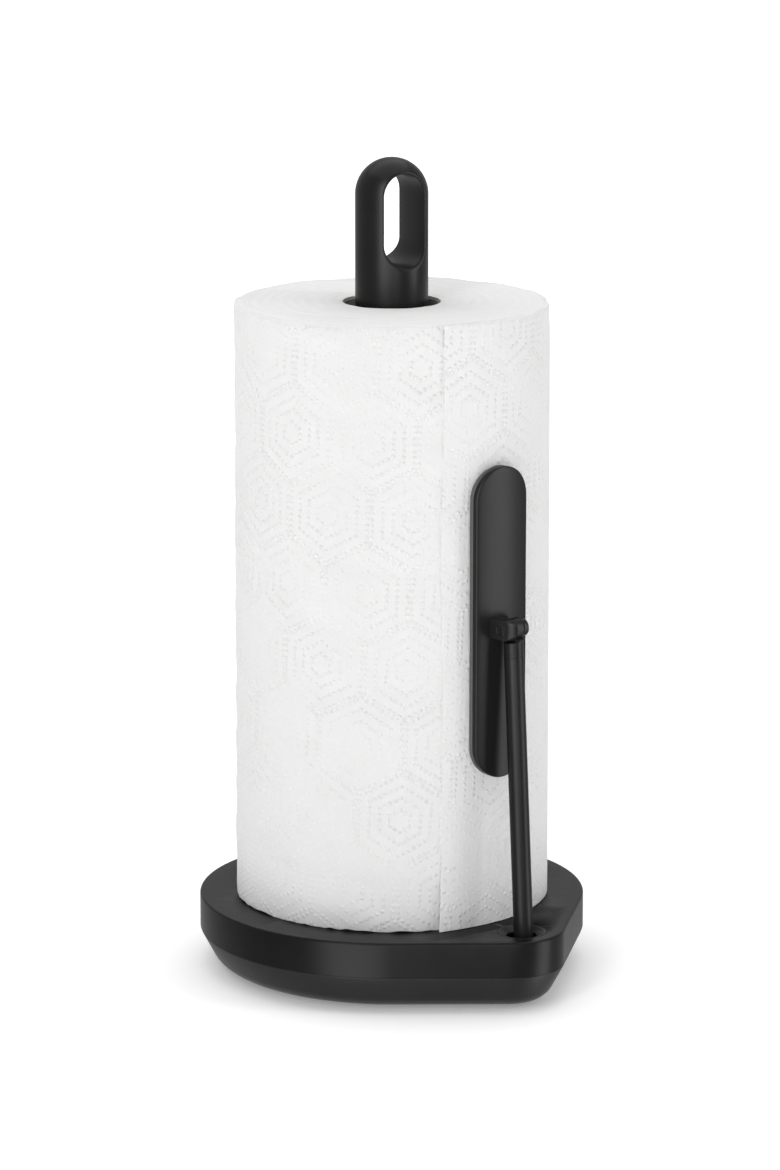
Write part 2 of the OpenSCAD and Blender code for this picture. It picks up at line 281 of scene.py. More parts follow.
def revolve(profile, angles=96, along="Z", centre=(0, 0, 0)):
    """Turns a profile of (radius, height) about Z, (r cos a, r sin a, h), or X, (h, r cos a, r sin a)."""
    a = np.linspace(0, TURN, angles, endpoint=False) if np.isscalar(angles) else angles
    r, h = np.asarray(profile, float).T
    c, s = np.cos(a)[:, None] * r, np.sin(a)[:, None] * r
    level = np.broadcast_to(h, c.shape)
    order = (c, s, level) if along == "Z" else (level, c, s)
    return np.stack(order, -1) + np.asarray(centre, float), True


def circle(radius, centre=(0, 0), steps=96):
    """Points of a circle: centre + r (cos a, sin a)."""
    a = np.linspace(0, TURN, steps, endpoint=False)
    return np.stack([centre[0] + radius * np.cos(a), centre[1] + radius * np.sin(a)], -1)


def flat_face(outline, holes, z):
    """A level face inside an outline, as triangles, and open inside its round holes (radius, centre)."""
    loops = [outline, *(circle(radius, centre) for radius, centre in holes)]
    points = np.concatenate(loops)
    edges, start = [], 0
    for loop in loops:
        i = np.arange(len(loop))
        edges += np.stack([start + i, start + (i + 1) % len(loop)], -1).tolist()
        start += len(loop)
    done = delaunay_2d_cdt([Vector(p) for p in points], edges, [], 1, 1e-5)
    flat = np.array([tuple(v) for v in done[0]])
    triangles = np.array(done[2])
    middle = flat[triangles].mean(1)
    for radius, centre in holes:
        outside = np.hypot(*(middle - centre).T) > radius * 0.998
        triangles, middle = triangles[outside], middle[outside]
    return np.column_stack([flat, np.full(len(flat), z)]), triangles


def teardrop(sizes, steps=(220, 24, 64)):
    """Outline of the base and its outward normals: a large arc, a tangent, the corner's arc, a tangent.

    The tangents leave both circles at arccos((R - r) / d) from the line through their centres.
    """
    big, small = SHELL_HIGH[0], sizes.corner_radius / MM
    reach = -SHELL_LOW[1] - small
    lean = math.acos((big - small) / reach)
    down = -math.pi / 2
    centre = np.array([0, -reach])
    arc = np.linspace(down + lean, down - lean + TURN, steps[0], endpoint=False)
    nose = np.linspace(down - lean, down + lean, steps[2], endpoint=False)
    side = np.linspace(0, 1, steps[1], endpoint=False)[:, None]

    def ray(a):
        return np.stack([np.cos(a), np.sin(a)], -1)

    left, right = ray(np.array([down - lean])), ray(np.array([down + lean]))
    outline = [
        big * ray(arc),
        big * left + side * (centre + small * left - big * left),
        centre + small * ray(nose),
        centre + small * right + side * (big * right - centre - small * right),
    ]
    normals = [ray(arc), np.repeat(left, steps[1], 0), ray(nose), np.repeat(right, steps[1], 0)]
    return np.concatenate(outline), np.concatenate(normals)


def carry(outline, normals, profile):
    """Carries a profile of (inset, height) round an outline: each point moves in along its normal."""
    inset, height = np.asarray(profile, float).T
    flat = outline[:, None, :] - inset[None, :, None] * normals[:, None, :]
    return np.concatenate([flat, np.broadcast_to(height[None, :, None], flat.shape[:2] + (1,))], -1), True


def ripple(a, z, seed, waves, rough=0.8):
    """Smooth unevenness between about -1 and 1: a seeded sum of waves round (whole numbers) and along."""
    dice = np.random.default_rng(seed)
    total, weight = np.zeros(np.broadcast(a, z).shape), 0.0
    for _ in range(waves):
        k = dice.integers(1, 14)
        m = dice.uniform(0.004, 0.05)
        amount = 1 / (1 + rough * (k / 6 + m * 20))
        total += amount * np.sin(k * a + TURN * m * z + dice.uniform(0, TURN))
        weight += amount**2
    return total / math.sqrt(weight)


# ---------------------------------------------------------------- shader sockets


class Wire:
    """An output socket of a node tree, which Python's operators join with Math nodes."""

    def __init__(self, tree, socket=None):
        self.tree = tree
        self.socket = socket

    def node(self, kind, settings=None, inputs=None, output=0):
        """Adds a node: its settings first, then the values or links of its sockets."""
        made = self.tree.nodes.new(kind)
        for key, value in (settings or {}).items():
            if key == "stops":
                self.set_stops(made.color_ramp, value)
            else:
                setattr(made, key, value)
        for key, value in (inputs or {}).items():
            if isinstance(value, Wire):
                self.tree.links.new(value.socket, made.inputs[key])
            else:
                made.inputs[key].default_value = value
        return Wire(self.tree, made.outputs[output])

    @staticmethod
    def set_stops(ramp, stops):
        """Places a ramp's stops, each (position, grey)."""
        while len(ramp.elements) < len(stops):
            ramp.elements.new(1)
        for element, (place, grey) in zip(ramp.elements, stops):
            element.position = place
            element.color = (grey, grey, grey, 1)

    def math(self, operation, *others, clamp=False):
        settings = {"operation": operation, "use_clamp": clamp}
        return self.node("ShaderNodeMath", settings, dict(enumerate((self, *others))))

    def __add__(self, other):
        return self.math("ADD", other)

    __radd__ = __add__

    def __mul__(self, other):
        return self.math("MULTIPLY", other)

    __rmul__ = __mul__

    def __sub__(self, other):
        return self.math("SUBTRACT", other)

    def __rsub__(self, other):
        return self.node("ShaderNodeMath", {"operation": "SUBTRACT"}, {0: other, 1: self})

    def __truediv__(self, other):
        return self.math("DIVIDE", other)

    def __abs__(self):
        return self.math("ABSOLUTE")

    def minimum(self, other):
        return self.math("MINIMUM", other)

    def maximum(self, other):
        return self.math("MAXIMUM", other)

    def nearest(self):
        return self.math("ROUND")

    def smooth(self, low, high):
        """0 below low, 1 above high, and a smooth rise between them."""
        settings = {"interpolation_type": "SMOOTHSTEP"}
        return self.node("ShaderNodeMapRange", settings, {0: self, 1: low, 2: high})

    def between(self, low, high):
        """Straight from low at 0 to high at 1."""
        return self * (high - low) + low


def mix_colour(amount, first, second):
    """Colour that goes from first to second as amount goes from 0 to 1."""
    rgba = [c if isinstance(c, Wire) else (*c, 1) for c in (first, second)]
    inputs = {0: amount, 6: rgba[0], 7: rgba[1]}
    return amount.node("ShaderNodeMix", {"data_type": "RGBA"}, inputs, output=2)


def shade(base, factor):
    """A colour made lighter or darker by a factor."""
    return tuple(c * factor for c in base)


def first_two(vector):
    """Wires to a vector's x and y."""
    split = vector.node("ShaderNodeSeparateXYZ", {}, {0: vector})
    return split, Wire(split.tree, split.socket.node.outputs[1])


def new_material(name, constants):
    """A Principled material with its constant values set, and a wire to start its pattern from."""
    material = bpy.data.materials.new(name)
    material.use_nodes = True
    shader = material.node_tree.nodes["Principled BSDF"]
    for key, value in constants.items():
        shader.inputs[key].default_value = value
    return material, shader, Wire(material.node_tree)


def join(wire, shader, socket):
    """Links a wire to one of the shader's sockets."""
    wire.tree.links.new(wire.socket, shader.inputs[socket])


def place(wire, scale=1.0, stretch=(1, 1, 1)):
    """Object coordinates in millimetres over scale, stretched along the axes."""
    here = wire.node("ShaderNodeTexCoord", output="Object")
    factor = tuple(s / (MM * scale) for s in stretch)
    return here.node("ShaderNodeVectorMath", {"operation": "MULTIPLY"}, {0: here, 1: factor})


def noise(where, detail=2.0, rough=0.5):
    """Cloudy noise from 0 to 1."""
    inputs = {"Vector": where, "Scale": 1.0, "Detail": detail, "Roughness": rough}
    return where.node("ShaderNodeTexNoise", {}, inputs)


def bump(height, distance, strength=1.0, under=None):
    """Normal of a surface raised by height, from 0 to 1, times distance in millimetres."""
    inputs = {"Strength": strength, "Distance": distance * MM, "Height": height}
    if under is not None:
        inputs["Normal"] = under
    return height.node("ShaderNodeBump", {}, inputs)


# ---------------------------------------------------------------- finishes


def moulded_black(name, base, gloss, shine=0.12, grain=0.012):
    """Satin moulded plastic: fine spark-eroded grain, faint flow clouds and handling marks in the gloss."""
    material, shader, start = new_material(name, {"IOR": 1.5, "Specular IOR Level": shine})
    clouds = noise(place(start, 22), 3)
    fine = noise(place(start, 0.45), 2, 0.6)
    smears = noise(place(start, 9, (1, 1, 0.35)), 4, 0.65).smooth(0.5, 0.72)
    lighter = tuple(c * 1.35 + 0.001 for c in base)
    join(mix_colour(clouds, base, lighter), shader, "Base Color")
    join((clouds - 0.5) * 0.06 + fine * 0.05 - smears * 0.035 + gloss, shader, "Roughness")
    join(bump(fine, grain), shader, "Normal")
    return material


def painted_black(name, base):
    """Black paint on the steel arm: slight orange peel and a little dust along its length."""
    material, shader, start = new_material(name, {"IOR": 1.5, "Specular IOR Level": 0.13})
    peel = noise(place(start, 1.6), 2)
    streaks = noise(place(start, 3, (1, 1, 0.08)), 3)
    join(mix_colour(streaks, base, shade(base, 1.5)), shader, "Base Color")
    join(peel * 0.08 + streaks * 0.07 + 0.3, shader, "Roughness")
    join(bump(peel, 0.01), shader, "Normal")
    return material


def soft_rubber(name, base):
    """Matte rubber with a fine stipple."""
    material, shader, start = new_material(name, {"IOR": 1.45})
    stipple = noise(place(start, 0.7), 3, 0.7)
    clouds = noise(place(start, 12), 2)
    join(mix_colour(clouds, base, shade(base, 1.7)), shader, "Base Color")
    join(stipple * 0.12 + 0.66, shader, "Roughness")
    join(bump(stipple, 0.03), shader, "Normal")
    return material


def turned_metal(name, base, rough, metallic=1.0):
    """Bare metal with turning lines and stains."""
    material, shader, start = new_material(name, {"Metallic": metallic})
    lines = noise(place(start, 0.8, (0.15, 0.15, 4)), 2)
    stains = noise(place(start, 14), 3)
    join(mix_colour(stains, base, shade(base, 0.72)), shader, "Base Color")
    join(lines * 0.16 + stains * 0.1 + rough, shader, "Roughness")
    join(bump(lines, 0.01), shader, "Normal")
    return material


def cast_iron(name, base):
    """Rough cast iron of the base's weight."""
    material, shader, start = new_material(name, {"Metallic": 0.8})
    grit = noise(place(start, 1.5), 4, 0.7)
    join(mix_colour(noise(place(start, 20), 3), base, shade(base, 0.55)), shader, "Base Color")
    join(grit * 0.2 + 0.55, shader, "Roughness")
    join(bump(grit, 0.25), shader, "Normal")
    return material


def wound_card(name, base):
    """Grey-brown board wound in a spiral: one seam every 70 mm of height, and fibres along it."""
    material, shader, start = new_material(name, {"Roughness": 0.9})
    unrolled = start.node("ShaderNodeUVMap", {"uv_map": "Unrolled"})
    across, up = first_two(unrolled)
    turn = (across * 0.5 + up) / (70 * MM)
    seam = abs(turn.math("FRACT") - 0.5).smooth(0.012, 0.02)
    fibres = noise(place(start, 0.5, (1, 1, 0.3)), 4, 0.7)
    flecks = noise(place(start, 1.2), 3).smooth(0.62, 0.7)
    dark = shade(base, 0.72)
    body = mix_colour(fibres, dark, base)
    join(mix_colour(flecks * 0.4 + (1 - seam) * 0.5, body, shade(base, 0.5)), shader, "Base Color")
    join(bump(seam * 0.5 + fibres * 0.4, 0.15), shader, "Normal")
    return material


def hexagon_dots(start, sizes):
    """Depth of the embossing, 0 to 1: rings of dots on concentric hexagons, on a honeycomb of cells.

    A cell's centre is the nearer of two rectangular lattices. In the sixth of the cell that holds
    the point, one coordinate runs out from the centre and the other along the hexagon's side, and
    both are rounded to the nearest ring and the nearest dot of that ring.
    """
    unrolled = start.node("ShaderNodeUVMap", {"uv_map": "Unrolled"})
    turned = unrolled.node("ShaderNodeVectorRotate", {"rotation_type": "Z_AXIS"},
                           {"Vector": unrolled, "Angle": math.radians(2.6)})
    x, y = first_two(turned)
    wide, high = sizes.cell, sizes.cell * math.sqrt(3)

    def from_lattice(shift):
        u = x / wide + shift
        v = y / high + shift
        return (u - u.nearest()) * wide, (v - v.nearest()) * high

    ax, ay = from_lattice(0.0)
    bx, by = from_lattice(0.5)
    second = (ax * ax + ay * ay).math("GREATER_THAN", bx * bx + by * by)
    px = abs(ax + (bx - ax) * second)
    py = abs(ay + (by - ay) * second)
    half, tall = 0.5, math.sqrt(3) / 2
    slanted = px * half + py * tall
    leaning = slanted.math("GREATER_THAN", px)
    out = px + (slanted - px) * leaning
    along_side = abs(py + (px * tall - py * half - py) * leaning)
    first = 0.3 * MM
    ring = ((out + first) / sizes.ring_pitch).nearest().maximum(1.0).minimum(4.0)
    ring_at = ring * sizes.ring_pitch - first
    gap = ring_at * (2 / math.sqrt(3)) / (ring * 2)
    away_out = out - ring_at
    away_side = along_side - (along_side / gap).nearest() * gap
    distance = (away_out * away_out + away_side * away_side).math("SQRT")
    return 1 - distance.smooth(sizes.dot * 0.25, sizes.dot * 1.15)


def embossed_paper(name, base, sizes):
    """Soft two-ply towel paper: embossed rings of dots and a felt of fibres and crepe."""
    constants = {"Sheen Weight": 0.25, "Sheen Roughness": 0.6, "Specular IOR Level": 0.2}
    material, shader, start = new_material(name, constants)
    dots = hexagon_dots(start, sizes)
    fibres = noise(place(start, 0.35), 4, 0.7)
    crepe = noise(place(start, 1.1, (1, 1, 0.5)), 3, 0.6)
    clouds = noise(place(start, 18), 2)
    worn = noise(place(start, 26), 1).smooth(0.32, 0.62)
    emboss_and_highlight = dots * worn.between(0.35, 1.0)
    # Painted highlight: the embossed dots are painted a shade lighter than the paper round them, standing in
    # for light on their raised tops. The clouds and crepe give the paper's own uneven tone.
    tone_and_dot_highlight = clouds * 0.25 + (1 - emboss_and_highlight) * 0.6 + crepe * 0.15
    join(mix_colour(tone_and_dot_highlight, shade(base, 1.1), shade(base, 0.97)), shader, "Base Color")
    join(0.95 - fibres * 0.1, shader, "Roughness")
    relief = bump(emboss_and_highlight, sizes.dot_depth / MM)
    felt = bump(fibres * 0.35 + crepe * 0.65, 0.5, 0.8, relief)
    join(felt, shader, "Normal")
    return material


def cut_paper(name, base):
    """Ends of the wound layers: fine rings about the post's axis."""
    constants = {"Sheen Weight": 0.2, "Specular IOR Level": 0.2}
    material, shader, start = new_material(name, constants)
    here = start.node("ShaderNodeTexCoord", output="Object")
    x, y = first_two(here)
    radius = (x * x + y * y).math("SQRT")
    wander = noise(place(start, 9), 3)
    rings = (radius / (0.9 * MM) + wander * 1.6).math("SINE") * 0.5 + 0.5
    fine = (radius / (0.31 * MM) + wander * 4).math("SINE") * 0.5 + 0.5
    fibres = noise(place(start, 0.5), 4, 0.7)
    depth = rings * 0.45 + fine * 0.25 + fibres * 0.3
    join(mix_colour(depth, shade(base, 0.95), base), shader, "Base Color")
    join(0.97 - fibres * 0.08, shader, "Roughness")
    join(bump(depth, 0.22), shader, "Normal")
    return material


def finish(name):
    """The material of that name, made the first time it is asked for."""
    found = bpy.data.materials.get(name)
    if found is not None:
        return found
    colours = bpy.context.scene.holder_colours
    paper = bpy.context.scene.paper_sizes
    makers = {
        "satin_black": lambda: moulded_black(name, colours.black, 0.3),
        "deep_black": lambda: moulded_black(name, colours.paint, 0.29),
        # Painted light: a lighter copy of the satin black, for the under tray's undercut.
        "tray_black_painted_lighter": lambda: moulded_black(name, colours.tray, 0.36, 0.26),
        "arm_paint": lambda: painted_black(name, colours.paint),
        "liner_rubber": lambda: soft_rubber(name, colours.rubber),
        "foot_rubber": lambda: soft_rubber(name, colours.paint),
        "bright_steel": lambda: turned_metal(name, (0.56, 0.56, 0.57), 0.28),
        "dark_steel": lambda: turned_metal(name, (0.1, 0.1, 0.105), 0.35, 0.9),
        "brass": lambda: turned_metal(name, (0.68, 0.5, 0.22), 0.3),
        "cast_iron": lambda: cast_iron(name, (0.13, 0.13, 0.135)),
        "wound_card": lambda: wound_card(name, colours.card),
        "towel_paper": lambda: embossed_paper(name, colours.paper, paper),
        "cut_paper": lambda: cut_paper(name, colours.paper),
    }
    return makers[name]()


# ---------------------------------------------------------------- pieces of the base


class HOLDER_OT_base_shell(bpy.types.Operator):
    """Upper half of the base: a teardrop deck with an upright band, open below"""

    bl_idname = "holder.base_shell"
    bl_label = "Base shell"

    def execute(self, context):
        sizes = context.scene.holder_sizes
        top = SHELL_HIGH[2]
        seam = top - sizes.band_height / MM
        wall = sizes.wall / MM
        edge = sizes.base_edge / MM
        deck = top - wall
        rim = 4.0
        outline, normals = teardrop(sizes)
        corner_points = [(rim, top), (0, top), (0, seam), (wall, seam), (wall, deck), (rim, deck)]
        profile = rounded(corner_points, (edge, 0.25, 0.3, 0.8))
        profile = np.insert(profile, 1, (edge + 0.4, top), axis=0)
        skirt = carry(outline, normals, profile)
        holes = [(HANDLE_HIGH[0] + 0.1, (0, 0)), (BEZEL_HIGH[0] + 0.05, (0, SOCKET_Y))]
        patches = [skirt]
        for z in (top, deck):
            level = [(r + 0.25 * (z == top), c) for r, c in holes]
            patches.append(flat_face(outline - rim * normals, level, z))
        for r, c in holes:
            wall_profile = [(r + 0.25, top), (r, top - 0.25), (r, deck)]
            patches.append(revolve(wall_profile, centre=(*c, 0)))
        piece = make_piece("visual_base_shell", patches)
        settle(piece, "base", "black_plastic", finish("satin_black"), "base_shell")
        return {"FINISHED"}


class HOLDER_OT_under_tray(bpy.types.Operator):
    """Lower half of the base: an undercut tray with a shallow pocket for the foot pad"""

    bl_idname = "holder.under_tray"
    bl_label = "Under tray"

    def execute(self, context):
        sizes = context.scene.holder_sizes
        seam = SHELL_HIGH[2] - sizes.band_height / MM
        floor = 0.8
        wall = sizes.wall / MM
        angle = sizes.undercut_angle
        curve = sizes.undercut_radius / MM
        flat = floor + curve * (1 - math.sin(angle))
        line = (seam - flat) * math.tan(angle)
        a = np.linspace(angle, math.pi / 2, 16)
        sweep = np.stack([line + curve * (math.cos(angle) - np.cos(a)),
                          flat - curve * (np.sin(a) - math.sin(angle))], -1)
        rim_in, rim_top = wall + 0.3, seam + 2.4
        below_seam = tuple(sweep[0] + (sweep[1] - sweep[0]) * 0.4)
        lip = rounded([(rim_in, rim_top), (rim_in, seam), (0, seam), below_seam], (0, 0.3), 4)
        under = sweep[-1, 0] + 0.4
        outer = np.concatenate([lip, sweep[1:], [(under, floor)]])
        inner = [(20, floor + wall), (13, floor + wall + 1.5), (8, flat + 3), (rim_in + 1.6, seam - 3),
                 (rim_in + 1.6, rim_top), (rim_in, rim_top)]
        outline, normals = teardrop(sizes)
        pocket = FOOT_HIGH[0] + 0.2
        patches = [
            carry(outline, normals, outer),
            carry(outline, normals, inner),
            flat_face(outline - 20 * normals, [], floor + wall),
            flat_face(outline - under * normals, [(pocket, (0, 0))], floor),
            revolve([(pocket, floor), (pocket, FOOT_HIGH[2] + 0.1), (0, FOOT_HIGH[2] + 0.1)]),
        ]
        piece = make_piece("visual_under_tray", patches)
        # Its finish is the lighter copy of the base's plastic, a painted light on the undercut.
        settle(piece, "base", "black_plastic", finish("tray_black_painted_lighter"), "under_tray")
        return {"FINISHED"}


class HOLDER_OT_foot_pad(bpy.types.Operator):
    """Rubber pad under the base, with a round edge and shallow rings for grip"""

    bl_idname = "holder.foot_pad"
    bl_label = "Foot pad"

    def execute(self, context):
        r, top = FOOT_HIGH[0], FOOT_HIGH[2]
        edge = rounded([(0, top), (r, top), (r, 0), (r - 4, 0)], (0.2, 0.5), 5)
        across = np.linspace(r - 4, 0, 160)
        tread = np.stack([across, 0.35 * np.clip(np.sin(across * TURN / 6) * 2, 0, 1)], -1)
        piece = make_piece("visual_foot_pad", [revolve(np.concatenate([edge, tread[1:]]), 128)], 60)
        settle(piece, "base", "foot_rubber", finish("foot_rubber"), "foot_pad")
        return {"FINISHED"}


class HOLDER_OT_socket_bezel(bpy.types.Operator):
    """Dished ring round the arm's socket"""

    bl_idname = "holder.socket_bezel"
    bl_label = "Socket bezel"

    def execute(self, context):
        low, top = BEZEL_LOW[2], BEZEL_HIGH[2]
        outer = BEZEL_HIGH[0]
        throat = 6.9
        ring = [(throat, low + 1), (throat, low), (outer, low), (outer, top), (outer - 0.9, top),
                (throat, low + 1), (throat, low)]
        profile = rounded(ring, (0.2, 0.1, 0.25, 0.35, 0.35), 5)[1:-1]
        profile = np.concatenate([profile, profile[:1]])
        piece = make_piece("visual_socket_bezel", [revolve(profile, 128, centre=(0, SOCKET_Y, 0))], 50)
        settle(piece, "base", "black_plastic", finish("deep_black"), "socket_bezel")


# ---------------------------------------------------------------- post and handle
        return {"FINISHED"}


class HOLDER_OT_post_tube(bpy.types.Operator):
    """Post from the base's deck to the handle, with its flange under the deck"""

    bl_idname = "holder.post_tube"
    bl_label = "Post tube"

    def execute(self, context):
        low, top = POST_LOW[2], POST_HIGH[2]
        flange, bore = POST_HIGH[0], POST_R - 2.75
        ring = [(bore, low + 6), (bore, low), (flange, low), (flange, low + 3), (POST_R, low + 3),
                (POST_R, top), (bore, top), (bore, low + 6)]
        profile = rounded(ring, (0.2, 0.5, 0.5, 0.5, 0.35, 0.2), 5)
        piece = make_piece("visual_post_tube", [revolve(profile, 144)], 50)
        settle(piece, "base", "black_plastic", finish("satin_black"), "post_tube")
        return {"FINISHED"}


def on_domed_post(p, q, dome_z):
    """Wraps flat points (p, q) onto the front half of the domed post.

    Below the dome's centre p runs round the post; above it, distance from (0, dome_z) runs over the dome.
    """
    above = q > dome_z
    reach = np.where(above, np.hypot(p, q - dome_z), np.abs(p))
    squeeze = np.where(reach > 1e-9, POST_R * np.sin(reach / POST_R) / np.maximum(reach, 1e-9), 1)
    z = np.where(above, dome_z + (q - dome_z) * squeeze, q)
    return np.stack([p * squeeze, -POST_R * np.cos(reach / POST_R), z], -1)


def slot_loop(half, dome_z, low_z, arc=SLOT_ARC, side=SLOT_SIDE):
    """The finger slot's outline on the flat post, half wide: up one side, over, down and under.

    Flat distances are arcs of the post, R asin(x / R), so that the slot stays straight seen from the front.
    """
    up, down = np.linspace(0, math.pi, arc, endpoint=False), np.linspace(math.pi, TURN, arc, endpoint=False)
    run = np.linspace(0, 1, side, endpoint=False)

    def flat(x):
        return POST_R * np.arcsin(np.clip(x / POST_R, -1, 1))

    if half < POST_R:
        wide = flat(half)
        below = flat(half * np.cos(down)), low_z + half * np.sin(down)
    else:
        wide = POST_R * math.pi / 2
        below = wide * np.cos(down), low_z + wide * np.sin(down)
    p = np.concatenate([wide * np.cos(up), np.full(side, -wide), below[0], np.full(side, wide)])
    q = np.concatenate([dome_z + wide * np.sin(up), dome_z + (low_z - dome_z) * run, below[1],
                        low_z + (dome_z - low_z) * run])
    return p, q


def spun(points, angle):
    """Points turned about the post's axis: (x cos a - y sin a, x sin a + y cos a, z)."""
    x, y, z = points[..., 0], points[..., 1], points[..., 2]
    c, s = math.cos(angle), math.sin(angle)
    return np.stack([x * c - y * s, x * s + y * c, z], -1)


class HOLDER_OT_handle(bpy.types.Operator):
    """Domed handle with a finger slot whose rim is rounded over"""

    bl_idname = "holder.handle"
    bl_label = "Handle"

    def execute(self, context):
        sizes = context.scene.holder_sizes
        top = HANDLE_HIGH[2]
        dome_z = top - POST_R
        low_z = dome_z - sizes.slot_length / MM
        half, fillet = sizes.slot_radius / MM, sizes.slot_fillet / MM
        joint = POST_HIGH[2]
        rim_p, rim_q = slot_loop(half + fillet, dome_z, low_z)
        far_p, far_q = slot_loop(POST_R, dome_z, low_z)
        s = np.linspace(0, 1, 22)
        skin = on_domed_post(rim_p[:, None] * (1 - s) + far_p[:, None] * s,
                             rim_q[:, None] * (1 - s) + far_q[:, None] * s, dome_z)
        edge = on_domed_post(*slot_loop(half, dome_z, low_z), dome_z)
        rim = skin[:, 0]
        out = rim - np.stack([0 * rim_p, 0 * rim_p, np.where(rim[:, 2] > dome_z, dome_z, rim[:, 2])], -1)
        tilt = ((edge - rim)[:, 0] * out[:, 0] + (edge - rim)[:, 2] * out[:, 2]) / out[:, 1]
        corner = np.stack([edge[:, 0], rim[:, 1] - tilt, edge[:, 2]], -1)
        inside = corner + np.array([0, fillet * 1.15, 0])
        t = np.linspace(0, 1, 12)[None, :, None]
        weight = 0.78
        blend = (1 - t) ** 2, 2 * weight * t * (1 - t), t**2
        turn = sum(b * points[:, None] for b, points in zip(blend, (inside, corner, rim))) / sum(blend)
        flip = np.array([1, -1, 1])
        w = np.linspace(0, 1, 14)[None, :, None]
        bore = inside[:, None] * (1 - w) + (inside * flip)[:, None] * w
        spoke = np.stack([edge[:, 0], 0 * rim_p, edge[:, 2] - np.clip(edge[:, 2], low_z, dome_z)], -1)
        spoke /= np.linalg.norm(spoke, axis=1, keepdims=True)
        bore = bore - (sizes.slot_crown / MM * 4 * w * (1 - w)) * spoke[:, None]
        under = np.linspace(0, 1, 10)
        arc = slice(SLOT_ARC + SLOT_SIDE, 2 * SLOT_ARC + SLOT_SIDE + 1)
        skirt_p = far_p[arc][:, None] + 0 * under
        skirt_q = far_q[arc][:, None] * (1 - under) + (joint + 0.35) * under
        skirt = on_domed_post(skirt_p, skirt_q, dome_z)
        ring = np.arctan2(skirt[:, -1, 1], skirt[:, -1, 0])
        ring = np.unique(np.round(np.concatenate([ring, -ring]) % TURN, 9))
        bore_r = POST_R - 2.8
        end = HANDLE_LOW[2]
        stub = [(POST_R, joint + 0.35), (POST_R - 0.1, joint + 0.1), (POST_R - 0.35, joint),
                (bore_r, joint), (bore_r, end + 0.5), (bore_r - 0.5, end), (0, end)]
        patches = [(bore, True), revolve(stub, ring)]
        for side in (np.ones(3), flip):
            patches += [(skin * side, True), (turn * side, True), (skirt * side, False)]
        patches = [(spun(points, -sizes.slot_turn), wraps) for points, wraps in patches]
        piece = make_piece("visual_handle", patches, 40)
        settle(piece, "base", "black_plastic", finish("satin_black"), "handle")


# ---------------------------------------------------------------- arm and pad
        return {"FINISHED"}


def along_arm(points):
    """Leans points from the arm's own upright frame, with its origin at the pivot, to the knuckle."""
    run = KNUCKLE - PIVOT
    lean = math.atan2(run[1], run[2])
    x, y, z = points[..., 0], points[..., 1], points[..., 2]
    leaned = (x, y * math.cos(lean) + z * math.sin(lean), z * math.cos(lean) - y * math.sin(lean))
    return np.stack(leaned, -1) + PIVOT


class HOLDER_OT_arm_rod(bpy.types.Operator):
    """Arm: a painted tube, chamfered at both ends"""

    bl_idname = "holder.arm_rod"
    bl_label = "Arm tube"

    def execute(self, context):
        r = ROD_HIGH[0]
        low, top = -4.5, REACH - COLLAR
        skin, wraps = revolve(rounded([(0, low), (r, low), (r, top), (0, top)], (0.4, 0.12), 4), 72)
        piece = make_piece("visual_arm_rod", [(along_arm(skin), wraps)], 50)
        settle(piece, "arm", "black_paint", finish("arm_paint"), "arm_rod")
        return {"FINISHED"}


def squircle(angles, power):
    """A round outline that squares up with power: sign(cos) |cos|^(2/power), and the same of sin."""
    c, s = np.cos(angles), np.sin(angles)
    return np.sign(c) * np.abs(c) ** (2 / power), np.sign(s) * np.abs(s) ** (2 / power)


class HOLDER_OT_arm_head(bpy.types.Operator):
    """Head of the arm: a collar that flows into a tongue with a round end, across the hinge pin"""

    bl_idname = "holder.arm_head"
    bl_label = "Arm head"

    def execute(self, context):
        r = ROD_HIGH[0]
        tongue, left, right = 4.9, -2.0, 3.05
        a = np.linspace(0, TURN, 96, endpoint=False)
        low = REACH - COLLAR
        top = np.linspace(-math.pi * 0.3, math.pi / 2, 26)
        neck_z = np.linspace(REACH - 6.3, REACH + tongue * math.sin(top[0]), 14)[:-1]
        heights = np.concatenate([[low, low + 0.08], neck_z, REACH + tongue * np.sin(top)])
        first = tongue * math.cos(top[0])

        def eased(start, end):
            t = np.clip((heights - start) / (end - start), 0, 1)
            return t * t * (3 - 2 * t)

        early, late = eased(REACH - 6.2, REACH - 5.0), eased(REACH - 5.0, REACH - 3.9)
        x_low = -r + (left + r) * early
        x_high = r + (right - r) * late
        round_y = tongue * np.cos(np.arcsin(np.clip((heights - REACH) / tongue, -1, 1)))
        half_y = np.where(heights < neck_z[-1] + 0.01, r + (first - r) * late, round_y)
        half_x, middle = (x_high - x_low) / 2, (x_high + x_low) / 2
        half_x[0], half_y[0] = r - 0.08, r - 0.08
        power = 2 + 6 * late
        cx, sy = squircle(a[:, None], power[None, :])
        body = np.stack([middle + half_x * cx, half_y * sy, np.broadcast_to(heights, cx.shape)], -1)
        foot = np.stack([0 * body[:, 0, 0], 0 * body[:, 0, 1], body[:, 0, 2]], -1)[:, None]
        body = np.concatenate([foot, body], 1)
        piece = make_piece("visual_arm_head", [(along_arm(body), True)], 42)
        settle(piece, "arm", "black_plastic", finish("arm_paint"), "arm_head")
        return {"FINISHED"}


def stadium(half_width, half_length, arc=40, side=40):
    """Outline of a bar with round ends in x and z, and its outward normals."""
    over = np.linspace(0, math.pi, arc, endpoint=False)
    run = np.linspace(0, 1, side, endpoint=False)
    straight = half_length - half_width
    ray = np.stack([np.cos(over), np.sin(over)], -1)
    up, down = np.array([0, straight]), np.array([0, -straight])
    side_x = np.array([1.0, 0.0])
    left = -half_width * side_x + up + (down - up) * run[:, None]
    points = [half_width * ray + up, left, -half_width * ray + down, -left]
    normals = [ray, np.repeat(-side_x[None], side, 0), -ray, np.repeat(side_x[None], side, 0)]
    return np.concatenate(points), np.concatenate(normals)


